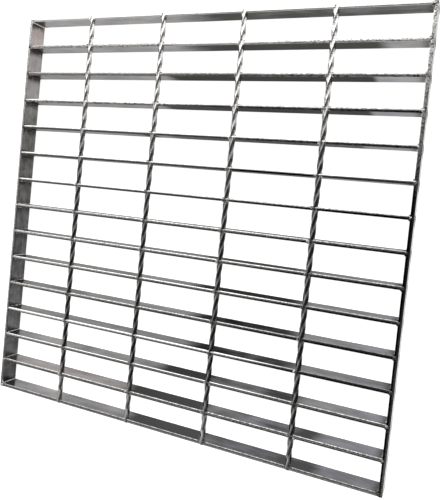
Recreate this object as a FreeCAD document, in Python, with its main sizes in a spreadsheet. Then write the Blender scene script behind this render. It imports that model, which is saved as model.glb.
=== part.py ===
import FreeCAD, Part
import math
import os
import Sketcher

# Drain grate: a nearly square panel of welded steel bar grating, in the common 34.3 by 100 mm mesh, lying flat.
# Flat bearing bars stand on edge along X. Twisted square rods cross them along Y, sunk into their upper edges.
# A flat end band closes each row of bar ends. The origin is under the middle of the panel, with Z up.

# Driving sizes in millimetres, and counts.
SIZES = (
    ("panel_length", 494, "along the bars, over both end bands"),
    ("bar_pitch", 34.3, "from one bar's middle to the next"),
    ("flat_depth", 25, "height of a bar or band on edge"),
    ("bar_thickness", 4, "bearing bar"),
    ("band_thickness", 4, "end band"),
    ("edge_ease", 0.8, "bevel on the long edges of the rolled flats"),
    ("bar_count", 15, "bearing bars, the two outer ones included"),
    ("rod_count", 4, "cross rods"),
    ("rod_spacing", 100, "from one rod's axis to the next"),
    ("rod_side", 5, "side of the square rod"),
    ("rod_sink", 2.5, "rod axis below the upper edges of the bars"),
    ("half_turns_per_bar", 1, "twist of the rod from one bar to the next"),
    ("steps_per_bar", 12, "even number of short steps that make this twist"),
)

doc = FreeCAD.newDocument("drain_grate")
sheet = doc.addObject("Spreadsheet::Sheet", "sizes")
for row, (alias, value, note) in enumerate(SIZES, start=1):
    sheet.set(f"A{row}", alias)
    sheet.set(f"B{row}", str(value))
    sheet.set(f"C{row}", note)
    sheet.setAlias(f"B{row}", alias)
doc.recompute()

PANEL_WIDTH = "(sizes.bar_count - 1) * sizes.bar_pitch + sizes.bar_thickness"
BAR_LENGTH = "sizes.panel_length - 2 * sizes.band_thickness"
BAND_PLACE = "(sizes.panel_length - sizes.band_thickness) / 2"
ROD_HEIGHT = "sizes.flat_depth - sizes.rod_sink"
X_AXIS = FreeCAD.Vector(1, 0, 0)
Z_AXIS = FreeCAD.Vector(0, 0, 1)

bar_count = int(sheet.bar_count)
rod_count = int(sheet.rod_count)
steps_per_bar = int(sheet.steps_per_bar)
step_length = sheet.bar_pitch / steps_per_bar
step_turn = math.pi * sheet.half_turns_per_bar / steps_per_bar


def origin_plane(body, role):
    """The named base plane of a body."""
    return next(item for item in body.Origin.OriginFeatures if item.Role == role)


def flat_section(body, thickness):
    """The cross-section of a flat on edge: centred on Z, standing on the ground."""
    sketch = body.newObject("Sketcher::SketchObject", body.Name + "_section")
    sketch.AttachmentSupport = [(origin_plane(body, "YZ_Plane"), "")]
    sketch.MapMode = "FlatFace"
    corners = [FreeCAD.Vector(x, y, 0) for x, y in ((-1, 0), (1, 0), (1, 9), (-1, 9))]
    for start, end in zip(corners, corners[1:] + corners[:1]):
        sketch.addGeometry(Part.LineSegment(start, end), False)
    bottom, right, top, left = range(4)
    for line, following in ((bottom, right), (right, top), (top, left), (left, bottom)):
        sketch.addConstraint(Sketcher.Constraint("Coincident", line, 2, following, 1))
    for line in (bottom, top):
        sketch.addConstraint(Sketcher.Constraint("Horizontal", line))
    for line in (right, left):
        sketch.addConstraint(Sketcher.Constraint("Vertical", line))
    origin = (-1, 1)
    sketch.addConstraint(Sketcher.Constraint("Symmetric", bottom, 1, bottom, 2, *origin))
    across = sketch.addConstraint(Sketcher.Constraint("DistanceX", bottom, 1, bottom, 2, 2))
    upward = sketch.addConstraint(Sketcher.Constraint("DistanceY", right, 1, right, 2, 9))
    sketch.renameConstraint(across, "thickness")
    sketch.renameConstraint(upward, "depth")
    sketch.setExpression("Constraints.thickness", thickness)
    sketch.setExpression("Constraints.depth", "sizes.flat_depth")
    return sketch


def rolled_flat(name, length, thickness):
    """A length of rolled flat on edge along X, centred, with its four long edges eased."""
    body = doc.addObject("PartDesign::Body", name)
    pad = body.newObject("PartDesign::Pad", name + "_length")
    pad.Profile = flat_section(body, thickness)
    pad.SideType = "Symmetric"
    pad.setExpression("Length", length)
    doc.recompute()
    ease = body.newObject("PartDesign::Chamfer", name + "_ease")
    long_edges = [
        f"Edge{number}"
        for number, edge in enumerate(pad.Shape.Edges, start=1)
        if abs(edge.tangentAt(edge.FirstParameter).dot(X_AXIS)) > 0.99
    ]
    ease.Base = (pad, long_edges)
    ease.setExpression("Size", "sizes.edge_ease")
    body.Tip = ease
    return body


def square_ring(station):
    """The four corners of the rod at one station along Y, turned to the right about its axis."""
    reach = sheet.rod_side / math.sqrt(2)
    angles = [math.pi / 4 + quarter * math.pi / 2 - station * step_turn for quarter in range(4)]
    along = station * step_length
    return [FreeCAD.Vector(reach * math.cos(a), along, reach * math.sin(a)) for a in angles]


def flat_face(*corners):
    """A plane face through the corners."""
    return Part.Face(Part.makePolygon([*corners, corners[0]]))


def twisted_square(reach):
    """A square rod along Y with a right-hand twist, that many steps to either side of a bar.

    A side faces up over the bar. Each step's four sides are flat triangles, and their diagonals alternate,
    so that the hollows and crests they leave on the helical surface even out.
    """
    stations = range(-reach, reach + 1)
    rings = [square_ring(station) for station in stations]
    faces = [flat_face(*rings[0]), flat_face(*rings[-1])]
    for station, low, high in zip(stations, rings, rings[1:]):
        for corner in range(4):
            after = (corner + 1) % 4
            if (station + corner) % 2:
                faces.append(flat_face(low[corner], low[after], high[after]))
                faces.append(flat_face(low[corner], high[after], high[corner]))
            else:
                faces.append(flat_face(low[corner], low[after], high[corner]))
                faces.append(flat_face(low[after], high[after], high[corner]))
    shell = Part.makeShell(faces)
    shell.sewShape()
    return Part.makeSolid(shell)


def rod_place(number):
    """Where rod number's axis crosses the bars, as a formula."""
    return f"({number} - {(rod_count - 1) / 2}) * sizes.rod_spacing"


# Cross rods: one long twisted square, cut off at the outer faces of the outer bars.
rod_stock = doc.addObject("Part::Feature", "rod_stock")
rod_stock.Shape = twisted_square(steps_per_bar * (bar_count - 1) // 2 + 2)

rod_length = doc.addObject("Part::Box", "rod_length")
rod_length.setExpression("Length", "4 * sizes.rod_side")
rod_length.setExpression("Width", PANEL_WIDTH)
rod_length.setExpression("Height", "4 * sizes.rod_side")
rod_length.setExpression("Placement.Base.x", "-2 * sizes.rod_side")
rod_length.setExpression("Placement.Base.y", f"-({PANEL_WIDTH}) / 2")
rod_length.setExpression("Placement.Base.z", "-2 * sizes.rod_side")

rods = []
for number in range(rod_count):
    rod = doc.addObject("Part::Common", f"cross_rod_{number + 1}")
    rod.Base = rod_stock
    rod.Tool = rod_length
    rod.setExpression("Placement.Base.x", rod_place(number))
    rod.setExpression("Placement.Base.z", ROD_HEIGHT)
    rods.append(rod)

# Bearing bars: one blank with a seat for each rod, repeated at the bar pitch.
# The rod has made a whole number of half turns from one bar to the next, so its seats are alike in every bar.
seats = []
for number in range(rod_count):
    seat = doc.addObject("Part::Feature", f"rod_seat_{number + 1}")
    seat.Shape = twisted_square(1)
    seat.setExpression("Placement.Base.x", rod_place(number))
    seat.setExpression("Placement.Base.z", ROD_HEIGHT)
    seats.append(seat)
all_seats = doc.addObject("Part::Compound", "rod_seats")
all_seats.Links = seats

blank = rolled_flat("bar_blank", BAR_LENGTH, "sizes.bar_thickness")
bars = []
for number in range(bar_count):
    bar = doc.addObject("Part::Cut", f"bearing_bar_{number + 1:02d}")
    bar.Base = blank
    bar.Tool = all_seats
    bar.setExpression("Placement.Base.y", f"({number} - (sizes.bar_count - 1) / 2) * sizes.bar_pitch")
    bars.append(bar)

# End bands, across the bar ends.
bands = []
for name, side in (("end_band_left", -1), ("end_band_right", 1)):
    band = rolled_flat(name, PANEL_WIDTH, "sizes.band_thickness")
    band.Placement.Rotation = FreeCAD.Rotation(Z_AXIS, 90)
    band.setExpression("Placement.Base.x", f"{side} * {BAND_PLACE}")
    bands.append(band)

doc.recompute()

# Every object is sound before anything is written.
for item in doc.Objects:
    if "Invalid" in item.State or "Error" in item.State:
        raise RuntimeError(f"{item.Name} failed: {item.State}")
pieces = bars + rods + bands
for piece in pieces:
    shape = piece.Shape
    if shape.isNull() or not shape.isValid() or len(shape.Solids) != 1:
        raise RuntimeError(f"{piece.Label} is not one sound solid")

os.makedirs("parts", exist_ok=True)
for piece in pieces:
    piece.Shape.exportStep(f"parts/{piece.Label}.step")
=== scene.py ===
"""Drain grate of welded bar grating: zinc-coated flats, twisted rods, weld metal and a small studio."""

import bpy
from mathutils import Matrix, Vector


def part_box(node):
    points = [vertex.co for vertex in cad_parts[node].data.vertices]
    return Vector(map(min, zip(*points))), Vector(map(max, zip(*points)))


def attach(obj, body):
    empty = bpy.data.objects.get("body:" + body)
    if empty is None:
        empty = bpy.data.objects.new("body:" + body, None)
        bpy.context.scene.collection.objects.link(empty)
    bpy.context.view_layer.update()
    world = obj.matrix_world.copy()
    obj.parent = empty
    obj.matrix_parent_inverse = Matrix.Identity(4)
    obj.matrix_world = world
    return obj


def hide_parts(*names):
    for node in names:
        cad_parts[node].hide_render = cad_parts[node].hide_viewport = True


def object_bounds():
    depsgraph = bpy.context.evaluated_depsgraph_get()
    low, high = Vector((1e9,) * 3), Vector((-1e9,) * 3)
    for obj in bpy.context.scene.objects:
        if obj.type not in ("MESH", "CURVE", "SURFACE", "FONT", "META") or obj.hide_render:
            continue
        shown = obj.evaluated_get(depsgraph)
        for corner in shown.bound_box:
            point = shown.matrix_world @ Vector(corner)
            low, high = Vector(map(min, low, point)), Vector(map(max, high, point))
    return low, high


bl_info = {
    "name": "Drain grate",
    "version": (1, 0, 0),
    "blender": (4, 5, 0),
    "location": "View3D > Sidebar > Drain grate",
    "description": "Dresses a bar grating panel with its finishes, twisted rods, weld metal and studio",
    "category": "Object",
}

import math
from itertools import product

import bpy
from bpy.props import FloatProperty, FloatVectorProperty, IntProperty, PointerProperty
from mathutils import Vector

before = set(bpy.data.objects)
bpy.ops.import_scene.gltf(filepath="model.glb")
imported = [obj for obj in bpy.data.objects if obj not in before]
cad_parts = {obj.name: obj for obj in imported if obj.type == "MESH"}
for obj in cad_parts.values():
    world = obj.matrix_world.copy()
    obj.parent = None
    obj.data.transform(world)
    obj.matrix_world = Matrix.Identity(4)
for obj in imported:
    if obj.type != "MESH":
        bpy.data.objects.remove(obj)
CAD_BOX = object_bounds()

# The panel as the frame gives it, in metres.
MM = 0.001
BODY = "root"
BARS = sorted(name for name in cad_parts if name.startswith("bearing_bar"))
RODS = sorted(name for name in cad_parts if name.startswith("cross_rod"))
LEFT_BAND = "end_band_left"
RIGHT_BAND = "end_band_right"


def middle(node):
    """The middle of a node's box."""
    low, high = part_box(node)
    return (Vector(low) + Vector(high)) / 2


BAR_Y = [middle(name).y for name in BARS]
ROD_X = [middle(name).x for name in RODS]
BAR_PITCH = BAR_Y[1] - BAR_Y[0]
BAR_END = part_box(BARS[0])[1][0]
BAR_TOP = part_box(BARS[0])[1][2]
HALF_BAR = (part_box(BARS[0])[1][1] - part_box(BARS[0])[0][1]) / 2
PANEL_REACH = CAD_BOX[1].y
BAND_X = middle(RIGHT_BAND).x
HALF_BAND = CAD_BOX[1].x - BAND_X
ROD_HEIGHT = middle(RODS[0]).z

# Crowned upper edges of the flats: slopes, and where across an edge, from -1 to 1, a dark rim of painted
# shade sets in.
CROWN = 0.84
CROWN_POWER = 3.0
EDGE_SLOPE = (0.3, 0.6)
BAR_RIM = (0.0, -0.4)
BAR_RIM_SHADE = 0.85
BAR_RIM_SHIFT = -0.3
BAND_RIM = (0.5, -0.3)
BAND_RIM_SHADE = 0.5

# Sizes of the patterns in the finishes, in millimetres.
CLOUD_MM = 38
BLOTCH_MM = 9
TINGE_MM = 90
SCORCH_MM = 4.5
WELD_LUMP_MM = 2.0
WELD_SHADE_MM = 30

# Patterns too fine to show at their real size, in millimetres, drawn as coarse as they need to show.
STREAK_MM = 2.2
MOTTLE_MM = 1.8
GRIT_MM = 0.9
PIT_MM = 1.7
ROD_MOTTLE_MM = 2.5
ROD_GRIT_MM = 1.1

# How much each pattern adds to the dullness of a flat or a rod, which with the patches also holds painted
# shade, and where the sum starts.
BLOTCH_SHARE = 0.7
CLOUD_SHARE = 0.4
STREAK_SHARE = 0.4
DULL_START = -0.7
ROD_MOTTLE_SHARE = 0.4
ROD_DULL_START = -0.2

# Glare of a flat at a glancing angle: where it ends, how fast it falls, and what a dull coat keeps of it.
GLARE_END = 0.98
GLARE_END_BACK = 0.06
GLARE_END_DULL = -0.1
GLARE_FALL = 2.9
DULL_GLARE = 0.85

# Roughness: how far it swings, and what scorched zinc and dull rods add.
COAT_SWING = 0.11
SCORCH_ROUGHNESS = 0.25
ROD_SWING = 0.05
DULL_ROD_ROUGHNESS = 0.14

# Crests of the twisted rods: shares of the side at which the wear sets in, and what shows on a dull rod.
CREST_REACH = (0.63, 0.73)
CREST_WEAR = 0.2
DULL_CREST = 0.45

# Stretches over which something sets in, in metres, from where it is nothing to where it is full.
COOL_TINGE_X = (-100 * MM, 100 * MM)
OLIVE_TINGE_Y = (-20 * MM, 90 * MM)
# Towards a band, the scorch on the bars' ends also carries painted shade.
BAR_END_SCORCH_AND_SHADE_X = (BAR_END - 11 * MM, BAR_END)
BAND_SCORCH_BEFORE_BAR = (-12 * MM, -2 * MM)
BAND_SCORCH_BEHIND_BAR = (5 * MM, 1 * MM)
BAND_SCORCH_Y = (-60 * MM, 60 * MM)
BAR_RIM_SHIFT_Y = (10 * MM, 30 * MM)
BAR_RIM_BACK_Y = (195 * MM, 150 * MM)
BAR_RIM_FRONT_Y = (-230 * MM, -214 * MM)
BAND_RIM_Y = (125 * MM, 45 * MM)
ROUGH_RODS_Y = (-160 * MM, -80 * MM)

# Places of the weld metal and the specks, in metres.
BEAD_OFF_CORNER = 0.3 * MM
BEAD_FOOT = 2 * MM
BEAD_HEAD = BAR_TOP - 1.4 * MM
CORNER_BEAD_OFF = 2.7 * MM
CORNER_BEAD_BITE = 0.9 * MM
CORNER_BEAD_HEIGHT = BAR_TOP - 0.9 * MM
BUTTON_ON_BAND = 0.6 * MM
BUTTON_OFF_CORNER = 0.4 * MM
BUTTON_HEIGHT = BAR_TOP - 0.1 * MM
FLASH_OFF_ROD = 3.3 * MM
FLASH_IN_BAR = 0.3 * MM
FLASH_HEIGHT = BAR_TOP - 0.9 * MM
DROP_OFF_ROD = 3.9 * MM
DROP_FORWARD = 0.2 * MM
DROP_HEIGHT = BAR_TOP - 0.4 * MM
SPECKS_OFF_FACE = 0.9 * MM

# Largest random turn of a lump and fixed tip of a drop, in radians, and least and most stretch of a speck.
LUMP_TURN = (0.3, 0.3, 0.6)
DROP_TIP = (0.0, -0.4, 0.0)
SPECK_LEAST = (0.35, 0.3, 0.2)
SPECK_MOST = (1.5, 1.0, 0.6)

# The room: directions between which each light sets in, the share at right, and the floor's reach in metres.
ROOM_Y = (-0.3, 0.12)
ROOM_X = (-0.55, 0.05)
RIGHT_SHARE = 0.3
BACK_WALL_Y = (0.22, 0.36)
NEAR_WALL_Y = (-0.32, -0.42)
LEFT_WALL_X = (-0.7, -0.85)
FLOOR_REACH = 40.0

# Patches on a finish, in the order that patched reads. The strength of a lean is a slope.
# Painted shade on the sides: patches that darken the bars where they reflect little light; negative ones
# lighten them.
DULL_AND_SHADE_ON_BARS = (
    (-14, 320, 222, 300, 44, 60, 8, 0.9),
    (140, 300, 222, 300, 30, 10, 8, -0.15),
    (-14, 198, 190, 222, 40, 12, 8, 1.08),
    (190, 300, 190, 222, 12, 10, 8, 0.2),
    (-36, 194, 118, 190, 12, 5, 16, 1.25),
    (-26, 190, 86, 118, 12, 4, 10, 1.0),
    (-64, -50, 86, 118, 4, 3, 10, 1.2),
    (-10, 140, 50, 86, 14, 10, 10, 0.8),
    (15, 145, -17, 17, 20, 14, 10, 0.9),
    (36, 136, -52, -17, 16, 14, 10, 1.1),
    (24, 142, -85, -52, 16, 18, 10, 0.92),
    (24, 142, -154, -85, 16, 18, 10, 0.68),
    (-14, 56, -189, -154, 16, 22, 10, 0.76),
    (56, 116, -189, -154, 20, 10, 10, 0.28),
    (116, 152, -189, -154, 10, 20, 10, 0.58),
    (-46, 38, -300, -189, 22, 24, 10, 1.1),
    (38, 154, -300, -189, 20, 10, 10, 0.15),
    (38, 154, -300, -222, 20, 10, 10, 0.2),
    (154, 176, -300, -189, 10, 12, 10, 0.6),
    (-300, 300, -300, -85, 10, 10, 40, 0.16),
    (-300, 300, -300, -189, 10, 10, 40, 0.07),
    (150, 300, -300, -120, 60, 10, 30, 0.26),
    (-140, 60, -300, -120, 40, 40, 20, 0.16),
    (60, 150, -300, -154, 10, 10, 20, 0.2),
    (-300, -40, 150, 300, 20, 10, 10, 0.08),
    (-150, -40, 150, 300, 20, 10, 10, 0.06),
)
# Painted shade on the left band's inner side: darker towards the front.
DULL_AND_SHADE_ON_LEFT_BAND = (
    (-300, -200, -300, 200, 10, 10, 8, 0.04),
    (-300, -200, -300, 126, 10, 10, 14, 0.55),
    (-300, -200, -300, 60, 10, 10, 40, 0.12),
    (-300, -200, -300, -206, 10, 10, 8, 0.12),
)
# Painted shade on the right band: darker towards the front.
DULL_AND_SHADE_ON_RIGHT_BAND = ((200, 300, -300, 130, 10, 10, 60, 0.3),)
WARM_ON_BARS = (
    (-230, -40, -225, -190, 30, 30, 10, 0.5),
    (-230, -110, 50, 120, 30, 30, 10, 0.6),
)
WARM_ON_LEFT_BAND = (
    (-300, -200, 180, 300, 10, 10, 50, 0.5),
    (-300, -200, 208, 300, 10, 10, 8, 0.5),
)
# Painted shade, with some soot: darker upper edges at the right and in the front row; the negative patch
# lightens the near rims at the back left.
SOOT_AND_SHADE_ON_BARS = (
    (130, 300, -165, 40, 80, 10, 40, 0.33),
    (110, 300, -160, -75, 70, 10, 20, 0.43),
    (110, 300, -189, -158, 40, 10, 6, -0.05),
    (50, 145, 50, 86, 20, 20, 8, 0.25),
    (-300, -20, 120, 190, 10, 40, 16, -0.4),
    (-300, 300, -300, -222, 10, 10, 10, 0.35),
)
# Painted shade, with some soot, on the right band's upper edge: darker towards the front.
SOOT_AND_SHADE_ON_RIGHT_BAND = (
    (200, 300, -300, 85, 10, 10, 40, 0.5),
    (200, 300, -60, 60, 10, 10, 15, 0.2),
    (200, 300, -200, -140, 10, 10, 15, 0.15),
)
# Painted highlight on the upper edges: brighter in the back rows and at the left; negative patches take some
# away.
PAINTED_HIGHLIGHT_ON_BARS = (
    (-300, 300, 222, 300, 10, 10, 10, 0.4),
    (-40, 300, 190, 222, 30, 10, 10, 0.2),
    (-300, -40, 190, 222, 10, 30, 10, -0.05),
    (-300, 300, 155, 190, 10, 10, 10, -0.15),
    (-20, 300, 50, 118, 40, 10, 10, 0.2),
    (-300, -20, 15, 150, 10, 40, 10, 0.12),
    (60, 300, 155, 190, 30, 10, 10, 0.2),
    (-300, 130, -85, -34, 10, 40, 10, 0.12),
    (-300, 110, -154, -120, 10, 60, 10, 0.45),
    (-300, 110, -189, -154, 10, 30, 10, 0.2),
)
# Painted highlight along the left band's upper edge.
PAINTED_HIGHLIGHT_ON_LEFT_BAND = ((-300, -200, -300, 300, 10, 10, 10, 0.1),)
PITS_ON_BARS = (
    (60, 300, 86, 222, 60, 10, 10, 0.5),
    (-300, -40, 120, 222, 10, 60, 10, 0.4),
    (-300, -20, 120, 155, 10, 40, 8, 0.5),
    (20, 300, -222, -189, 60, 10, 10, 0.5),
)
PITS_ON_LEFT_BAND = ((-300, -200, -300, 300, 10, 10, 10, 0.3),)
PITS_ON_RIGHT_BAND = ((200, 300, 60, 300, 10, 10, 60, 0.8),)
LEAN_OF_BARS = (
    (-300, 115, -154, -120, 10, 50, 10, 0.17),
    (-40, 130, -85, 17, 40, 40, 8, 0.05),
    (-300, 180, 17, 155, 10, 50, 8, 0.08),
)
# Painted shade on the rods: darker towards the front, where they reflect less light, except in the front bay.
DULL_AND_SHADE_ON_RODS = (
    (-300, 300, -300, 130, 10, 10, 60, 0.72),
    (-300, 300, -190, 30, 10, 10, 50, 0.25),
    (100, 200, -190, 60, 10, 10, 50, 0.3),
    (-300, 300, -300, -206, 10, 10, 20, -0.3),
    (100, 200, 60, 190, 10, 10, 30, 0.15),
    (100, 200, -300, -206, 10, 10, 20, 0.3),
)
# A painted highlight on the corner beads at the back left, and patches that darken the weld metal elsewhere.
WELD_HIGHLIGHT_AND_DARKENING = (
    (-300, 0, 60, 220, 10, 10, 10, -0.5),
    (-300, -200, 228, 300, 10, 10, 4, 0.6),
    (200, 300, -150, 20, 10, 10, 20, -0.25),
    (0, 300, -300, -228, 10, 10, 5, -0.4),
)


def linear(code):
    """An sRGB hex colour as linear RGBA."""
    channels = [int(code[start:start + 2], 16) / 255 for start in (1, 3, 5)]
    return (*[c / 12.92 if c <= 0.04045 else ((c + 0.055) / 1.055) ** 2.4 for c in channels], 1.0)


def colour(label, words, code):
    """A colour setting."""
    return FloatVectorProperty(
        name=label, description=words, subtype="COLOR", size=4, min=0, max=1, default=linear(code)
    )


def length(label, words, millimetres):
    """A length setting, kept in metres."""
    return FloatProperty(
        name=label, description=words, subtype="DISTANCE", unit="LENGTH", min=0, default=millimetres * MM
    )


class GrateFinish(bpy.types.PropertyGroup):
    """Colours of the zinc coat and the weld metal."""

    zinc_bright: colour("Bright zinc", "Coat that is still bright", "#918f8f")
    zinc_warm: colour("Warm zinc", "Bright coat where it has a reddish tinge", "#a89e9b")
    zinc_violet: colour("Violet zinc", "Bright coat where it has a cool tinge", "#8a8a93")
    # Dull coat, and painted shade where the patches darken the sides.
    zinc_dull_and_shade: colour("Dull zinc", "Coat that has gone dull", "#313133")
    zinc_olive_dull_and_shade: colour("Olive zinc", "Dull coat towards the back", "#2f3129")
    # Bright crests, and painted highlight where the patches brighten the edges.
    edge_crest_and_highlight: colour("Bright edge", "Bare crests on the upper edges", "#c8c6c4")
    edge_dark: colour("Dark edge", "Hollows on the upper edges", "#777573")
    # Soot, and painted shade on the near rims and in the patches that darken the edges.
    edge_soot_and_shade: colour("Sooty edge", "Upper edges where the coat has gone black", "#151516")
    rod_bright: colour("Bright rod", "Flats of the rods that are still bright", "#aeacaa")
    rod_crest: colour("Rod crest", "Worn corners of the rods", "#c0bebc")
    # Dull rod flats, and painted shade towards the front.
    rod_dull_and_shade: colour("Dull rod", "Flats of the rods where the coat has gone dull", "#363637")
    burn: colour("Burn", "Scorched zinc beside a weld", "#2b2827")
    weld_bright: colour("Bright weld", "Crests of the weld metal", "#c9c7c4")
    weld_dark: colour("Dark weld", "Hollows of the weld metal", "#4b4846")
    coat_roughness: FloatProperty(
        name="Coat roughness", description="Roughness of the zinc coat", min=0, max=1, default=0.24
    )
    rod_roughness: FloatProperty(
        name="Rod roughness", description="Roughness of the twisted rods", min=0, max=1, default=0.17
    )


class GrateShapes(bpy.types.PropertyGroup):
    """Sizes of the twisted rods and the weld metal."""

    rod_side: length("Rod side", "Side of the square rod", 5.0)
    rod_corner: length("Rod corner", "Rounding of the rod's corners", 0.7)
    rod_step: length("Rod step", "Length of one step of the twist", 1.2)
    bead_radius: length("Bead radius", "Half the width of a weld bead", 1.2)
    ripple_step: length("Ripple step", "From one ripple of a bead to the next", 0.9)
    button_size: length("Button size", "Weld metal on top of a band joint", 2.2)
    flash_size: length("Flash size", "Metal pressed out where a rod crosses a bar", 1.5)
    drop_size: length("Drop size", "Weld metal on top of a bar, to the left of a rod", 2.2)
    speck_size: length("Speck size", "Largest zinc speck on the edges", 0.3)
    speck_count: FloatProperty(
        name="Specks", description="Zinc specks for each square metre of edge", min=0, default=14000
    )
    seed: IntProperty(name="Seed", description="Start of the random sizes and places", default=7)


class GrateStudio(bpy.types.PropertyGroup):
    """Camera, lamps and floor."""

    camera_place: FloatVectorProperty(
        name="Camera place", description="Where the camera stands", subtype="TRANSLATION", unit="LENGTH",
        default=(0.2819, 0.0355, 0.5925),
    )
    camera_turn: FloatVectorProperty(
        name="Camera turn", description="How the camera is turned", subtype="EULER", unit="ROTATION",
        default=[math.radians(angle) for angle in (-0.098, 23.545, 6.166)],
    )
    lens: FloatProperty(name="Lens", description="Focal length in millimetres on 36 mm", default=40.057)
    shift: FloatVectorProperty(
        name="Shift", description="Shift of the lens, in long sides of the picture", size=2,
        default=(0.0170, -0.0558),
    )
    key_power: FloatProperty(name="Key power", description="Soft box at the back", unit="POWER", default=4)
    side_power: FloatProperty(name="Side power", description="Soft box at left", unit="POWER", default=1.5)
    front_light: FloatProperty(name="Front light", description="Strength of the light in front", default=0.05)
    top_light: FloatProperty(name="Top light", description="Strength of the light overhead", default=0.35)
    back_light: FloatProperty(name="Back light", description="Strength that the back wall adds", default=2.4)
    fore_light: FloatProperty(name="Fore light", description="Strength that the near wall adds", default=0.8)
    left_light: FloatProperty(name="Left light", description="Strength that the left wall adds", default=1.5)
    floor_glow: FloatProperty(name="Floor glow", description="White of the floor itself", default=0.92)


MATH = "ShaderNodeMath"
SPAN = "ShaderNodeMapRange"
SOFT = {"interpolation_type": "SMOOTHSTEP"}
MIX = "ShaderNodeMix"
COLOURS = {"data_type": "RGBA"}


def add(tree, kind, inputs=(), **settings):
    """Adds a node with its settings, sets or links its inputs, and returns its first live output."""
    item = tree.nodes.new(kind)
    for key, value in settings.items():
        setattr(item, key, value)
    for socket, value in inputs.items() if isinstance(inputs, dict) else enumerate(inputs):
        if isinstance(value, bpy.types.NodeSocket):
            tree.links.new(value, item.inputs[socket])
        else:
            item.inputs[socket].default_value = value
    return next((socket for socket in item.outputs if socket.enabled), None)


def new_material(name):
    """An empty material, its tree and the inputs of its surface shader, which is metal."""
    material = bpy.data.materials.new(name)
    material.use_nodes = True
    tree = material.node_tree
    tree.nodes.clear()
    surface = add(tree, "ShaderNodeBsdfPrincipled", {"Metallic": 1.0})
    add(tree, "ShaderNodeOutputMaterial", {"Surface": surface})
    return material, tree, surface.node.inputs


def grain(tree, where, size_mm, stretch=(1, 1, 1), detail=2.0):
    """Cloudy noise whose lumps are about that many millimetres across, drawn out along an axis."""
    scale = [1 / (size_mm * MM * along) for along in stretch]
    placed = add(tree, "ShaderNodeMapping", {"Vector": where, "Scale": scale})
    return add(tree, "ShaderNodeTexNoise", {"Vector": placed, "Scale": 1.0, "Detail": detail})


def patched(tree, axes, patches, start=0.0):
    """The sum of the patches at a place, added to a start. A patch has west, east, south and north ends in
    millimetres, the softness of its west end, of its east end and of the other two, and a strength."""
    total = start
    for west, east, south, north, soft_west, soft_east, soft_ends, strength in patches:
        spans = (
            ("X", west, soft_west, 1), ("X", east, soft_east, -1),
            ("Y", south, soft_ends, 1), ("Y", north, soft_ends, -1),
        )
        inside = strength
        for axis, end, soft, way in spans:
            rise = add(tree, SPAN, (axes[axis], (end - way * soft) * MM, (end + way * soft) * MM), **SOFT)
            inside = add(tree, MATH, (rise, inside), operation="MULTIPLY")
        total = add(tree, MATH, (inside, total), operation="ADD")
    return total


def calmed_glare(tree, back, dull, on_edge):
    """How much of the glare at a glancing angle a weathered coat keeps: all on an edge, less where dull."""
    glance = add(tree, "ShaderNodeLayerWeight", (0.5,)).node.outputs["Facing"]
    end = add(tree, MATH, (back, GLARE_END_BACK, GLARE_END), operation="MULTIPLY_ADD")
    end = add(tree, MATH, (dull, GLARE_END_DULL, end), operation="MULTIPLY_ADD")
    before_end = add(tree, MATH, (end, glance), operation="SUBTRACT")
    keep = add(tree, MATH, (before_end, GLARE_FALL), operation="MULTIPLY", use_clamp=True)
    still_glossy = add(tree, SPAN, (dull, 0.0, 1.0, 1.0, DULL_GLARE))
    keep = add(tree, MATH, (keep, still_glossy), operation="MULTIPLY")
    return add(tree, MATH, (keep, on_edge), operation="MAXIMUM")


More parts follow.
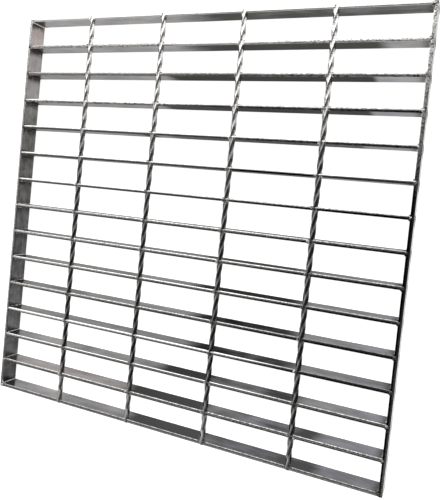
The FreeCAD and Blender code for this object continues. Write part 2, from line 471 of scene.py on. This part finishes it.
def zinc_coated_flat(name, finish, stretch, patches, place, calm_glare=True):
    """Rolled steel flat with a hot-dip zinc coat: semi-gloss sides with rolling streaks, dull blotches and
    patches of painted shade, crowned upper edges with bright crests, patches of painted highlight, pits and
    dark stretches of soot and painted shade, and scorched zinc beside the welds, also painted shade on bar
    ends."""
    material, tree, shader = new_material(name)
    coordinates = add(tree, "ShaderNodeTexCoord").node.outputs
    where = coordinates["Object"]
    axes = add(tree, "ShaderNodeSeparateXYZ", (where,)).node.outputs
    upward = add(tree, "ShaderNodeSeparateXYZ", (coordinates["Normal"],)).node.outputs["Z"]
    on_edge = add(tree, SPAN, (upward, *EDGE_SLOPE), **SOFT)
    burn, crown, shade = place(tree, axes)

    streak = grain(tree, where, STREAK_MM, stretch, 3.0)
    cloud = grain(tree, where, CLOUD_MM, (1.6, 1, 1), 3.0)
    blotch = grain(tree, where, BLOTCH_MM, (2.5, 1, 1), 4.0)
    mottle = grain(tree, where, MOTTLE_MM, detail=3.0)
    grit = grain(tree, where, GRIT_MM)

    # Sides: bright zinc with a cool or warm tinge, and dark zinc that is olive towards the back, which is
    # dull coat in the random blotches and streaks and painted shade in the patches.
    dull = patched(tree, axes, patches["dull"], DULL_START)
    dull = add(tree, MATH, (blotch, BLOTCH_SHARE, dull), operation="MULTIPLY_ADD")
    dull = add(tree, MATH, (cloud, CLOUD_SHARE, dull), operation="MULTIPLY_ADD")
    dull = add(tree, MATH, (streak, STREAK_SHARE, dull), operation="MULTIPLY_ADD")
    dull = add(tree, SPAN, (dull, 0.0, 1.0))
    cool = add(tree, SPAN, (grain(tree, where, TINGE_MM), 0.4, 0.65), **SOFT)
    eastward = add(tree, SPAN, (axes["X"], *COOL_TINGE_X), **SOFT)
    cool = add(tree, MATH, (cool, eastward), operation="MULTIPLY")
    fresh = add(tree, MIX, {"Factor": cool, "A": finish.zinc_bright, "B": finish.zinc_violet}, **COLOURS)
    warm = patched(tree, axes, patches.get("warm", ()))
    fresh = add(tree, MIX, {"Factor": warm, "A": fresh, "B": finish.zinc_warm}, **COLOURS)
    back = add(tree, SPAN, (axes["Y"], *OLIVE_TINGE_Y), **SOFT)
    worn = add(tree, MIX, {"Factor": back, "A": finish.zinc_dull_and_shade, "B": finish.zinc_olive_dull_and_shade}, **COLOURS)
    side = add(tree, MIX, {"Factor": dull, "A": fresh, "B": worn}, **COLOURS)

    # Upper edges: bright crests over dark hollows, brighter in patches of painted highlight, with dark pits
    # and with soot and painted shade on the near rims and in patches.
    soot_and_shade = patched(tree, axes, patches.get("soot_and_shade", ()), shade)
    pit = add(tree, SPAN, (grain(tree, where, PIT_MM), 0.5, 0.38), **SOFT)
    soot_and_shade = add(tree, MATH, (pit, patched(tree, axes, patches["pits"]), soot_and_shade), operation="MULTIPLY_ADD")
    soot_and_shade = add(tree, SPAN, (soot_and_shade, 0.0, 1.0))
    mottle_and_painted_highlight = add(tree, MATH, (mottle, patched(tree, axes, patches.get("mottle_and_painted_highlight", ()))), operation="ADD")
    mottle_and_painted_highlight = add(tree, SPAN, (mottle_and_painted_highlight, 0.25, 0.75), **SOFT)
    edge = add(tree, MIX, {"Factor": mottle_and_painted_highlight, "A": finish.edge_dark, "B": finish.edge_crest_and_highlight}, **COLOURS)
    edge = add(tree, MIX, {"Factor": soot_and_shade, "A": edge, "B": finish.edge_soot_and_shade}, **COLOURS)
    face = add(tree, MIX, {"Factor": on_edge, "A": side, "B": edge}, **COLOURS)

    # Scorched zinc beside the welds, mostly on the sides; on the ends of the bars it also serves as painted
    # shade.
    patch = add(tree, SPAN, (grain(tree, where, SCORCH_MM, detail=4.0), 0.28, 0.52), **SOFT)
    scorch = add(tree, MATH, (burn, patch), operation="MULTIPLY")
    cleaned = add(tree, SPAN, (on_edge, 0.0, 1.0, 1.0, 0.3))
    scorch = add(tree, MATH, (scorch, cleaned), operation="MULTIPLY")
    face = add(tree, MIX, {"Factor": scorch, "A": face, "B": finish.burn}, **COLOURS)
    tree.links.new(face, shader["Base Color"])
    if calm_glare:
        tree.links.new(calmed_glare(tree, back, dull, on_edge), shader["Specular Tint"])

    smoothest = finish.coat_roughness - COAT_SWING
    roughest = finish.coat_roughness + COAT_SWING
    rough = add(tree, SPAN, (cloud, 0.0, 1.0, smoothest, roughest))
    rough = add(tree, MATH, (scorch, SCORCH_ROUGHNESS, rough), operation="MULTIPLY_ADD")
    tree.links.new(rough, shader["Roughness"])

    # A rolled edge is crowned, so its light turns smoothly over the flat top and both bevels.
    normal = add(tree, MIX, {"Factor": on_edge, "A": coordinates["Normal"], "B": crown}, data_type="VECTOR")
    normal = add(tree, "ShaderNodeVectorMath", (normal,), operation="NORMALIZE")
    height = add(tree, MATH, (mottle, 0.5, grit), operation="MULTIPLY_ADD")
    bump = add(
        tree, "ShaderNodeBump", {"Height": height, "Normal": normal, "Strength": 0.2, "Distance": 0.25 * MM}
    )
    tree.links.new(bump, shader["Normal"])
    return material


def place_on_bar(tree, axes):
    """How near a place on a bar is to a band, where it is scorched and, on a bar's end, darkened as painted
    shade;
    which way the crown of its upper edge faces there; and how dark the painted shade on its near rim is,
    which fades out towards the outer bars."""
    step = add(tree, MATH, (axes["Y"], BAR_PITCH), operation="DIVIDE")
    bar = add(tree, MATH, (step,), operation="ROUND")
    off = add(tree, MATH, (step, bar), operation="SUBTRACT")
    across = add(tree, MATH, (off, BAR_PITCH / HALF_BAR), operation="MULTIPLY")
    lean = add(tree, MATH, (across, CROWN_POWER), operation="POWER")
    lean = add(tree, MATH, (lean, CROWN, patched(tree, axes, LEAN_OF_BARS)), operation="MULTIPLY_ADD")
    crown = add(tree, "ShaderNodeCombineXYZ", (0.0, lean, 1.0))
    behind = add(tree, SPAN, (axes["Y"], *BAR_RIM_SHIFT_Y), **SOFT)
    rim = add(tree, MATH, (behind, BAR_RIM_SHIFT, across), operation="MULTIPLY_ADD")
    near_rim = add(tree, SPAN, (rim, *BAR_RIM), **SOFT)
    before_back = add(tree, SPAN, (axes["Y"], *BAR_RIM_BACK_Y, 0.0, BAR_RIM_SHADE), **SOFT)
    behind_front = add(tree, SPAN, (axes["Y"], *BAR_RIM_FRONT_Y), **SOFT)
    shade = add(tree, MATH, (near_rim, before_back), operation="MULTIPLY")
    shade = add(tree, MATH, (shade, behind_front), operation="MULTIPLY")
    # Scorch at a bar's end near a band, which there is also painted shade.
    out = add(tree, MATH, (axes["X"],), operation="ABSOLUTE")
    burn = add(tree, SPAN, (out, *BAR_END_SCORCH_AND_SHADE_X, 0.0, 0.8), **SOFT)
    return burn, crown, shade


def place_on_band(tree, axes):
    """How near a place on a band is to a bar, which way the crown of its upper edge faces there, and how
    dark the painted shade on its inner rim is, on the right band alone."""
    band = add(tree, MATH, (axes["X"],), operation="SIGN")
    off = add(tree, MATH, (band, -BAND_X, axes["X"]), operation="MULTIPLY_ADD")
    across = add(tree, MATH, (off, HALF_BAND), operation="DIVIDE")
    lean = add(tree, MATH, (across, CROWN_POWER), operation="POWER")
    lean = add(tree, MATH, (lean, CROWN), operation="MULTIPLY")
    crown = add(tree, "ShaderNodeCombineXYZ", (lean, 0.0, 1.0))
    step = add(tree, MATH, (axes["Y"], BAR_PITCH), operation="DIVIDE")
    bar = add(tree, MATH, (step,), operation="ROUND")
    off = add(tree, MATH, (step, bar), operation="SUBTRACT")
    # The heat of the weld reaches further down the front side of a bar.
    before = add(tree, SPAN, (off, *[end / BAR_PITCH for end in BAND_SCORCH_BEFORE_BAR]), **SOFT)
    behind = add(tree, SPAN, (off, *[end / BAR_PITCH for end in BAND_SCORCH_BEHIND_BAR]), **SOFT)
    near = add(tree, MATH, (before, behind), operation="MULTIPLY")
    heat = add(tree, SPAN, (axes["Y"], *BAND_SCORCH_Y, 0.4, 1.0), **SOFT)
    burn = add(tree, MATH, (near, heat), operation="MULTIPLY")
    # Painted shade on the right band's inner rim, towards the front.
    inner_rim = add(tree, SPAN, (across, *BAND_RIM), **SOFT)
    front_rim_shade = add(tree, SPAN, (axes["Y"], *BAND_RIM_Y, 0.0, BAND_RIM_SHADE), **SOFT)
    shade = add(tree, MATH, (inner_rim, front_rim_shade), operation="MULTIPLY")
    on_right = add(tree, MATH, (band, 0.0), operation="MAXIMUM")
    shade = add(tree, MATH, (shade, on_right), operation="MULTIPLY")
    return burn, crown, shade


def twisted_rod_steel(finish, shapes):
    """Square wire, twisted cold and zinc coated: glossy, with bright worn corners over flats that go dull,
    darker in patches of painted shade.
    """
    material, tree, shader = new_material("zinc_coated_twisted_rod")
    where = add(tree, "ShaderNodeTexCoord").node.outputs["Object"]
    axes = add(tree, "ShaderNodeSeparateXYZ", (where,)).node.outputs
    mottle = grain(tree, where, ROD_MOTTLE_MM, (1, 1.8, 1), 3.0)
    dull = patched(tree, axes, DULL_AND_SHADE_ON_RODS, ROD_DULL_START)
    dull = add(tree, MATH, (mottle, ROD_MOTTLE_SHARE, dull), operation="MULTIPLY_ADD")
    dull = add(tree, SPAN, (dull, 0.0, 1.0), **SOFT)
    flat = add(tree, MIX, {"Factor": dull, "A": finish.rod_bright, "B": finish.rod_dull_and_shade}, **COLOURS)
    off_axis = add(tree, "ShaderNodeAttribute", attribute_name="off_axis").node.outputs["Fac"]
    worn = add(tree, MATH, (mottle, CREST_WEAR * shapes.rod_side, off_axis), operation="MULTIPLY_ADD")
    crest = add(tree, SPAN, (worn, *[share * shapes.rod_side for share in CREST_REACH]), **SOFT)
    still_bright = add(tree, SPAN, (dull, 0.0, 1.0, 1.0, DULL_CREST))
    crest = add(tree, MATH, (crest, still_bright), operation="MULTIPLY")
    face = add(tree, MIX, {"Factor": crest, "A": flat, "B": finish.rod_crest}, **COLOURS)
    tree.links.new(face, shader["Base Color"])
    roughest = finish.rod_roughness + ROD_SWING
    smoothest = finish.rod_roughness - ROD_SWING
    rough = add(tree, SPAN, (mottle, 0.2, 0.8, roughest, smoothest))
    matt = add(tree, SPAN, (axes["Y"], *ROUGH_RODS_Y, 0.0, DULL_ROD_ROUGHNESS), **SOFT)
    rough = add(tree, MATH, (dull, matt, rough), operation="MULTIPLY_ADD")
    tree.links.new(rough, shader["Roughness"])
    height = add(tree, MATH, (grain(tree, where, ROD_GRIT_MM), 0.5, mottle), operation="MULTIPLY_ADD")
    bump = add(tree, "ShaderNodeBump", {"Height": height, "Strength": 0.65, "Distance": 0.5 * MM})
    tree.links.new(bump, shader["Normal"])
    return material


def weld_metal(finish):
    """Weld metal under the zinc coat: bright rippled crests, dark hollows full of slag, a painted highlight
    on the corner beads at the back left, and darker patches elsewhere.
    """
    material, tree, shader = new_material("zinc_coated_weld_metal")
    where = add(tree, "ShaderNodeTexCoord").node.outputs["Object"]
    axes = add(tree, "ShaderNodeSeparateXYZ", (where,)).node.outputs
    lumps = grain(tree, where, WELD_LUMP_MM, detail=3.0)
    crest = patched(tree, axes, WELD_HIGHLIGHT_AND_DARKENING)
    crest = add(tree, MATH, (grain(tree, where, WELD_SHADE_MM), 0.6, crest), operation="MULTIPLY_ADD")
    crest = add(tree, MATH, (lumps, crest), operation="ADD")
    crest = add(tree, SPAN, (crest, 0.65, 1.0), **SOFT)
    face = add(tree, MIX, {"Factor": crest, "A": finish.weld_dark, "B": finish.weld_bright}, **COLOURS)
    tree.links.new(face, shader["Base Color"])
    tree.links.new(add(tree, SPAN, (lumps, 0.3, 0.7, 0.4, 0.24)), shader["Roughness"])
    bump = add(tree, "ShaderNodeBump", {"Height": lumps, "Strength": 0.4, "Distance": 0.4 * MM})
    tree.links.new(bump, shader["Normal"])
    return material


def start_tree(name, sockets):
    """A Geometry Nodes tree with named inputs, and its input and output sockets."""
    tree = bpy.data.node_groups.new(name, "GeometryNodeTree")
    tree.interface.new_socket("Geometry", in_out="INPUT", socket_type="NodeSocketGeometry")
    for label, kind in sockets:
        tree.interface.new_socket(label, in_out="INPUT", socket_type="NodeSocket" + kind)
    tree.interface.new_socket("Geometry", in_out="OUTPUT", socket_type="NodeSocketGeometry")
    return tree, add(tree, "NodeGroupInput").node.outputs


def end_tree(tree, shape, material):
    """Ends a tree: plain mesh, shaded smooth, with its material."""
    real = add(tree, "GeometryNodeRealizeInstances", (shape,))
    smooth = add(tree, "GeometryNodeSetShadeSmooth", (real,))
    painted = add(tree, "GeometryNodeSetMaterial", {"Geometry": smooth, "Material": material})
    add(tree, "NodeGroupOutput", (painted,))
    return tree


def grow(name, base, tree, values):
    """The plain mesh piece that a tree makes from a base mesh, riding on the panel."""
    carrier = bpy.data.objects.new(name + "_base", base)
    bpy.context.scene.collection.objects.link(carrier)
    modifier = carrier.modifiers.new("shape", "NODES")
    modifier.node_group = tree
    for item in tree.interface.items_tree:
        if item.in_out == "INPUT" and item.name in values:
            modifier[item.identifier] = values[item.name]
    bpy.context.view_layer.update()
    graph = bpy.context.evaluated_depsgraph_get()
    mesh = bpy.data.meshes.new_from_object(carrier.evaluated_get(graph))
    mesh.name = name
    bpy.data.objects.remove(carrier)
    if not mesh.polygons:
        raise RuntimeError(name + " came out empty")
    piece = bpy.data.objects.new(name, mesh)
    bpy.context.scene.collection.objects.link(piece)
    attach(piece, BODY)
    return piece


def base_mesh(name, points, edges=(), faces=()):
    """A mesh that a tree starts from."""
    mesh = bpy.data.meshes.new(name)
    mesh.from_pydata(points, edges, faces)
    return mesh


def twist_tree():
    """A square rod along the base's edges, twisted to the right, with rounded corners."""
    sockets = (
        ("Length", "Float"), ("Side", "Float"), ("Corner", "Float"), ("Twist", "Float"), ("Step", "Float"),
        ("Material", "Material"),
    )
    tree, given = start_tree("twisted_rod", sockets)
    line = add(tree, "GeometryNodeMeshToCurve", (given["Geometry"],))
    stepped = add(tree, "GeometryNodeResampleCurve", {"Curve": line, "Length": given["Step"]}, mode="LENGTH")
    along = add(tree, "GeometryNodeSplineParameter").node.outputs["Length"]
    half = add(tree, MATH, (given["Length"], 0.5), operation="MULTIPLY")
    from_middle = add(tree, MATH, (along, half), operation="SUBTRACT")
    turn = add(tree, MATH, (from_middle, given["Twist"]), operation="MULTIPLY")
    upright = add(tree, "GeometryNodeSetCurveNormal", (stepped,), mode="Z_UP")
    twisted = add(tree, "GeometryNodeSetCurveTilt", {"Curve": upright, "Tilt": turn})
    square = add(
        tree, "GeometryNodeCurvePrimitiveQuadrilateral", {"Width": given["Side"], "Height": given["Side"]}
    )
    rounded = add(
        tree, "GeometryNodeFilletCurve", {"Curve": square, "Radius": given["Corner"], "Count": 2}, mode="POLY"
    )
    fine = add(tree, "GeometryNodeSubdivideCurve", {"Curve": rounded, "Cuts": 2})
    reach = add(
        tree, "ShaderNodeVectorMath", (add(tree, "GeometryNodeInputPosition"),), operation="LENGTH"
    )
    profile = add(
        tree, "GeometryNodeStoreNamedAttribute", {"Geometry": fine, "Name": "off_axis", "Value": reach},
        data_type="FLOAT", domain="POINT",
    )
    solid = add(
        tree, "GeometryNodeCurveToMesh", {"Curve": twisted, "Profile Curve": profile, "Fill Caps": True}
    )
    return end_tree(tree, solid, given["Material"])


def bead_tree():
    """Rippled weld beads along the base's edges."""
    sockets = (
        ("Radius", "Float"), ("Step", "Float"), ("Least", "Float"), ("Seed", "Int"), ("Material", "Material"),
    )
    tree, given = start_tree("weld_bead", sockets)
    line = add(tree, "GeometryNodeMeshToCurve", (given["Geometry"],))
    stepped = add(tree, "GeometryNodeResampleCurve", {"Curve": line, "Length": given["Step"]}, mode="LENGTH")
    round_profile = add(
        tree, "GeometryNodeCurvePrimitiveCircle", {"Resolution": 8, "Radius": given["Radius"]}
    )
    share = add(
        tree, "FunctionNodeRandomValue", {"Min": given["Least"], "Max": 1.0, "Seed": given["Seed"]},
        data_type="FLOAT",
    )
    solid = add(
        tree, "GeometryNodeCurveToMesh",
        {"Curve": stepped, "Profile Curve": round_profile, "Scale": share, "Fill Caps": True},
    )
    return end_tree(tree, solid, given["Material"])


def lump_tree():
    """Low lumps of metal of uneven size at the base's points."""
    sockets = (
        ("Size", "Vector"), ("Tip", "Vector"), ("Least", "Float"), ("Seed", "Int"), ("Material", "Material"),
    )
    tree, given = start_tree("metal_lumps", sockets)
    ball = add(tree, "GeometryNodeMeshUVSphere", {"Segments": 8, "Rings": 5, "Radius": 1.0})
    shape = add(tree, "GeometryNodeTransform", {"Geometry": ball, "Scale": given["Size"]})
    share = add(
        tree, "FunctionNodeRandomValue", {"Min": given["Least"], "Max": 1.0, "Seed": given["Seed"]},
        data_type="FLOAT",
    )
    turn = add(
        tree, "FunctionNodeRandomValue",
        {"Min": [-angle for angle in LUMP_TURN], "Max": LUMP_TURN, "Seed": given["Seed"]},
        data_type="FLOAT_VECTOR",
    )
    turn = add(tree, "ShaderNodeVectorMath", (turn, given["Tip"]), operation="ADD")
    turn = add(tree, "FunctionNodeEulerToRotation", (turn,))
    placed = add(
        tree, "GeometryNodeInstanceOnPoints",
        {"Points": given["Geometry"], "Instance": shape, "Rotation": turn, "Scale": share},
    )
    return end_tree(tree, placed, given["Material"])


def speck_tree():
    """Specks of zinc scattered over the base's faces."""
    sockets = (("Count", "Float"), ("Size", "Float"), ("Seed", "Int"), ("Material", "Material"))
    tree, given = start_tree("zinc_specks", sockets)
    spread = add(
        tree, "GeometryNodeDistributePointsOnFaces",
        {"Mesh": given["Geometry"], "Density": given["Count"], "Seed": given["Seed"]},
    )
    ball = add(tree, "GeometryNodeMeshIcoSphere", {"Radius": 1.0, "Subdivisions": 1})
    stretch = add(
        tree, "FunctionNodeRandomValue", {"Min": SPECK_LEAST, "Max": SPECK_MOST, "Seed": given["Seed"]},
        data_type="FLOAT_VECTOR",
    )
    size = add(tree, "ShaderNodeVectorMath", {0: stretch, "Scale": given["Size"]}, operation="SCALE")
    placed = add(
        tree, "GeometryNodeInstanceOnPoints",
        {"Points": spread, "Instance": ball, "Rotation": spread.node.outputs["Rotation"], "Scale": size},
    )
    return end_tree(tree, placed, given["Material"])


def band_bead_lines():
    """Points and edges of the weld beads: up each side of a band joint, and across each corner on top."""
    points = []
    for end, y, side in product((-1, 1), BAR_Y, (-1, 1)):
        x = end * (BAR_END - BEAD_OFF_CORNER)
        at = y + side * (HALF_BAR + BEAD_OFF_CORNER)
        if abs(at) <= PANEL_REACH:
            points += [(x, at, BEAD_FOOT), (x, at, BEAD_HEAD)]
    inner = BAR_Y[-1] - HALF_BAR
    for end, side in product((-1, 1), (-1, 1)):
        on_band = (end * (BAR_END + CORNER_BEAD_BITE), side * (inner - CORNER_BEAD_OFF), CORNER_BEAD_HEIGHT)
        on_bar = (end * (BAR_END - CORNER_BEAD_OFF), side * (inner + CORNER_BEAD_BITE), CORNER_BEAD_HEIGHT)
        points += [on_band, on_bar]
    return points, [(first, first + 1) for first in range(0, len(points), 2)]


def button_points():
    """Points of the weld metal on top of the band joints and of the panel's corners."""
    at_joint = BAR_END + BUTTON_ON_BAND
    at_corner = PANEL_REACH - HALF_BAR - BUTTON_OFF_CORNER
    points = [(end * at_joint, y, BUTTON_HEIGHT) for end, y in product((-1, 1), BAR_Y[1:-1])]
    points += [(end * BAR_END, side * at_corner, BUTTON_HEIGHT) for end, side in product((-1, 1), (-1, 1))]
    return points


def flash_points(reach):
    """Points where metal is pressed out: beside each rod at both faces of a bar, but not out of the panel."""
    points = []
    for x, y, side, face in product(ROD_X, BAR_Y, (-1, 1), (-1, 1)):
        at = y + face * (HALF_BAR - FLASH_IN_BAR)
        if abs(at) + reach < PANEL_REACH:
            points.append((x + side * FLASH_OFF_ROD, at, FLASH_HEIGHT))
    return points


def drop_points():
    """Points of the weld drops, on top of each inner bar to the left of each rod."""
    return [(x - DROP_OFF_ROD, y - DROP_FORWARD, DROP_HEIGHT) for x, y in product(ROD_X, BAR_Y[1:-1])]


def edge_strips():
    """Points and faces of the flat strips along the upper edges of the bars."""
    half = HALF_BAR - SPECKS_OFF_FACE
    points = []
    for y in BAR_Y:
        for x, off in ((-1, -1), (1, -1), (1, 1), (-1, 1)):
            points.append((x * BAR_END, y + off * half, BAR_TOP))
    return points, [tuple(range(first, first + 4)) for first in range(0, len(points), 4)]


def lay_floor(scene, studio):
    """A plain pale floor that shows white by itself."""
    reach = FLOOR_REACH
    corners = [(-reach, -reach, 0), (reach, -reach, 0), (reach, reach, 0), (-reach, reach, 0)]
    floor = bpy.data.objects.new("floor", base_mesh("floor", corners, (), [(0, 1, 2, 3)]))
    scene.collection.objects.link(floor)
    material = bpy.data.materials.new("pale_floor")
    material.use_nodes = True
    tree = material.node_tree
    tree.nodes.clear()
    matt = add(tree, "ShaderNodeBsdfDiffuse", {"Color": linear("#c4c4c4")})
    rays = add(tree, "ShaderNodeLightPath").node.outputs
    seen = add(tree, MATH, (rays["Is Camera Ray"], rays["Is Glossy Ray"]), operation="MAXIMUM")
    seen = add(tree, MATH, (seen, rays["Is Transmission Ray"]), operation="MAXIMUM")
    strength = add(tree, MATH, (seen, studio.floor_glow), operation="MULTIPLY")
    glow = add(tree, "ShaderNodeEmission", {"Color": linear("#ffffff"), "Strength": strength})
    add(tree, "ShaderNodeOutputMaterial", (add(tree, "ShaderNodeAddShader", (matt, glow)),))
    floor.data.materials.append(material)


def light_room(scene, studio):
    """A room with a dim ceiling and three brighter walls."""
    world = bpy.data.worlds.new("studio")
    world.use_nodes = True
    tree = world.node_tree
    tree.nodes.clear()
    toward = add(tree, "ShaderNodeTexCoord").node.outputs["Generated"]
    axes = add(tree, "ShaderNodeSeparateXYZ", (toward,)).node.outputs
    room = add(tree, SPAN, (axes["Y"], *ROOM_Y, studio.front_light, studio.top_light), **SOFT)
    sideways = add(tree, SPAN, (axes["X"], *ROOM_X, 1.0, RIGHT_SHARE), **SOFT)
    strength = add(tree, MATH, (room, sideways), operation="MULTIPLY")
    walls = (
        ("Y", BACK_WALL_Y, studio.back_light), ("Y", NEAR_WALL_Y, studio.fore_light),
        ("X", LEFT_WALL_X, studio.left_light),
    )
    for axis, stretch, light in walls:
        wall = add(tree, SPAN, (axes[axis], *stretch, 0.0, light), **SOFT)
        strength = add(tree, MATH, (strength, wall), operation="ADD")
    sky = add(tree, "ShaderNodeBackground", {"Color": linear("#ffffff"), "Strength": strength})
    add(tree, "ShaderNodeOutputWorld", (sky,))
    scene.world = world


def hang_soft_boxes(scene, studio):
    """Two soft boxes that face the middle of the panel."""
    boxes = (
        ("key_soft_box", (-0.45, 1.05, 1.15), 1.7, 0.9, studio.key_power),
        ("side_soft_box", (-1.35, -0.15, 0.95), 0.8, 1.2, studio.side_power),
    )
    for name, place, wide, high, power in boxes:
        lamp = bpy.data.lights.new(name, "AREA")
        lamp.shape = "RECTANGLE"
        lamp.size = wide
        lamp.size_y = high
        lamp.energy = power
        box = bpy.data.objects.new(name, lamp)
        box.location = place
        box.rotation_euler = (-Vector(place)).to_track_quat("-Z", "Y").to_euler()
        scene.collection.objects.link(box)


def place_camera(scene, studio):
    """The camera, at the photograph's angle."""
    lens = bpy.data.cameras.new("camera")
    lens.lens = studio.lens
    lens.sensor_width = 36
    lens.shift_x, lens.shift_y = studio.shift
    lens.clip_start = 0.01
    camera = bpy.data.objects.new("camera", lens)
    camera.location = studio.camera_place
    camera.rotation_euler = studio.camera_turn
    scene.collection.objects.link(camera)
    scene.camera = camera


class GRATE_OT_flats(bpy.types.Operator):
    """Gives the bearing bars and end bands their zinc coat"""

    bl_idname = "grate.flats"
    bl_label = "Coat the flats"

    def execute(self, context):
        finish = context.scene.grate_finish
        along_x = (28, 1, 1)
        along_y = (1, 28, 1)
        on_bars = {
            "dull": DULL_AND_SHADE_ON_BARS, "warm": WARM_ON_BARS, "soot_and_shade": SOOT_AND_SHADE_ON_BARS, "mottle_and_painted_highlight": PAINTED_HIGHLIGHT_ON_BARS,
            "pits": PITS_ON_BARS,
        }
        on_left = {
            "dull": DULL_AND_SHADE_ON_LEFT_BAND, "warm": WARM_ON_LEFT_BAND, "mottle_and_painted_highlight": PAINTED_HIGHLIGHT_ON_LEFT_BAND,
            "pits": PITS_ON_LEFT_BAND,
        }
        on_right = {"dull": DULL_AND_SHADE_ON_RIGHT_BAND, "soot_and_shade": SOOT_AND_SHADE_ON_RIGHT_BAND, "pits": PITS_ON_RIGHT_BAND}
        bar = zinc_coated_flat("zinc_coated_bar", finish, along_x, on_bars, place_on_bar)
        left = zinc_coated_flat("zinc_coated_left_band", finish, along_y, on_left, place_on_band)
        right = zinc_coated_flat(
            "zinc_coated_right_band", finish, along_y, on_right, place_on_band, calm_glare=False
        )
        coats = {name: bar for name in BARS} | {LEFT_BAND: left, RIGHT_BAND: right}
        for name, coat in coats.items():
            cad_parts[name].data.materials.clear()
            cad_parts[name].data.materials.append(coat)
        return {"FINISHED"}


class GRATE_OT_rods(bpy.types.Operator):
    """Makes the twisted cross rods"""

    bl_idname = "grate.rods"
    bl_label = "Twist the rods"

    def execute(self, context):
        shapes = context.scene.grate_shapes
        values = {
            "Length": 2 * PANEL_REACH, "Side": shapes.rod_side, "Corner": shapes.rod_corner,
            "Twist": math.pi / BAR_PITCH, "Step": shapes.rod_step,
            "Material": twisted_rod_steel(context.scene.grate_finish, shapes),
        }
        tree = twist_tree()
        for number, (name, x) in enumerate(zip(RODS, ROD_X), start=1):
            ends = [(x, -PANEL_REACH, ROD_HEIGHT), (x, PANEL_REACH, ROD_HEIGHT)]
            piece = grow(f"twisted_rod_{number}", base_mesh("rod_base", ends, [(0, 1)]), tree, values)
            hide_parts(name)
        return {"FINISHED"}


class GRATE_OT_welds(bpy.types.Operator):
    """Lays the weld metal at the band joints, corners and crossings, and zinc specks on the upper edges"""

    bl_idname = "grate.welds"
    bl_label = "Lay the welds"

    def execute(self, context):
        shapes = context.scene.grate_shapes
        seed = shapes.seed
        metal = weld_metal(context.scene.grate_finish)
        lumps = lump_tree()
        grow(
            "band_weld_beads", base_mesh("band_welds", *band_bead_lines()), bead_tree(),
            {
                "Radius": shapes.bead_radius, "Step": shapes.ripple_step, "Least": 0.8, "Seed": seed,
                "Material": metal,
            },
        )
        button = shapes.button_size
        grow(
            "band_weld_buttons", base_mesh("buttons", button_points()), lumps,
            {"Size": (button, button * 1.1, button * 0.4), "Least": 0.5, "Seed": seed, "Material": metal},
        )
        flash = shapes.flash_size
        grow(
            "crossing_flash", base_mesh("flash", flash_points(flash * 0.8)), lumps,
            {
                "Size": (flash * 1.3, flash * 0.7, flash * 0.9), "Least": 0.4, "Seed": seed + 1,
                "Material": metal,
            },
        )
        drop = shapes.drop_size
        grow(
            "crossing_weld_drops", base_mesh("drops", drop_points()), lumps,
            {
                "Size": (drop, drop * 0.75, drop * 0.4), "Tip": DROP_TIP, "Least": 0.4, "Seed": seed + 2,
                "Material": metal,
            },
        )
        strips, faces = edge_strips()
        grow(
            "zinc_specks", base_mesh("edge_strips", strips, (), faces), speck_tree(),
            {"Count": shapes.speck_count, "Size": shapes.speck_size, "Seed": seed, "Material": metal},
        )
        return {"FINISHED"}


class GRATE_OT_studio(bpy.types.Operator):
    """Sets up the floor, the room, the soft boxes and the camera"""

    bl_idname = "grate.studio"
    bl_label = "Set up the studio"

    def execute(self, context):
        scene = context.scene
        scene.view_settings.view_transform = "Standard"
        for build in (lay_floor, light_room, hang_soft_boxes, place_camera):
            build(scene, scene.grate_studio)
        return {"FINISHED"}


class GRATE_PT_panel(bpy.types.Panel):
    """Lists the steps that dress the grate"""

    bl_idname = "GRATE_PT_panel"
    bl_label = "Drain grate"
    bl_space_type = "VIEW_3D"
    bl_region_type = "UI"
    bl_category = "Drain grate"

    def draw(self, context):
        for step in STEPS:
            self.layout.operator(step.bl_idname)


STEPS = (GRATE_OT_flats, GRATE_OT_rods, GRATE_OT_welds, GRATE_OT_studio)
SETTINGS = (("grate_finish", GrateFinish), ("grate_shapes", GrateShapes), ("grate_studio", GrateStudio))


def register():
    """Adds the classes and their settings."""
    for kind in [group for _, group in SETTINGS] + [*STEPS, GRATE_PT_panel]:
        bpy.utils.register_class(kind)
    for name, group in SETTINGS:
        setattr(bpy.types.Scene, name, PointerProperty(type=group))


def unregister():
    """Removes the settings and their classes."""
    for name, _ in SETTINGS:
        delattr(bpy.types.Scene, name)
    for kind in [GRATE_PT_panel, *reversed(STEPS)] + [group for _, group in SETTINGS]:
        bpy.utils.unregister_class(kind)


def main():
    """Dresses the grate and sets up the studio."""
    register()
    bpy.ops.grate.flats()
    bpy.ops.grate.rods()
    bpy.ops.grate.welds()
    bpy.ops.grate.studio()


if __name__ == "__main__":
    main()
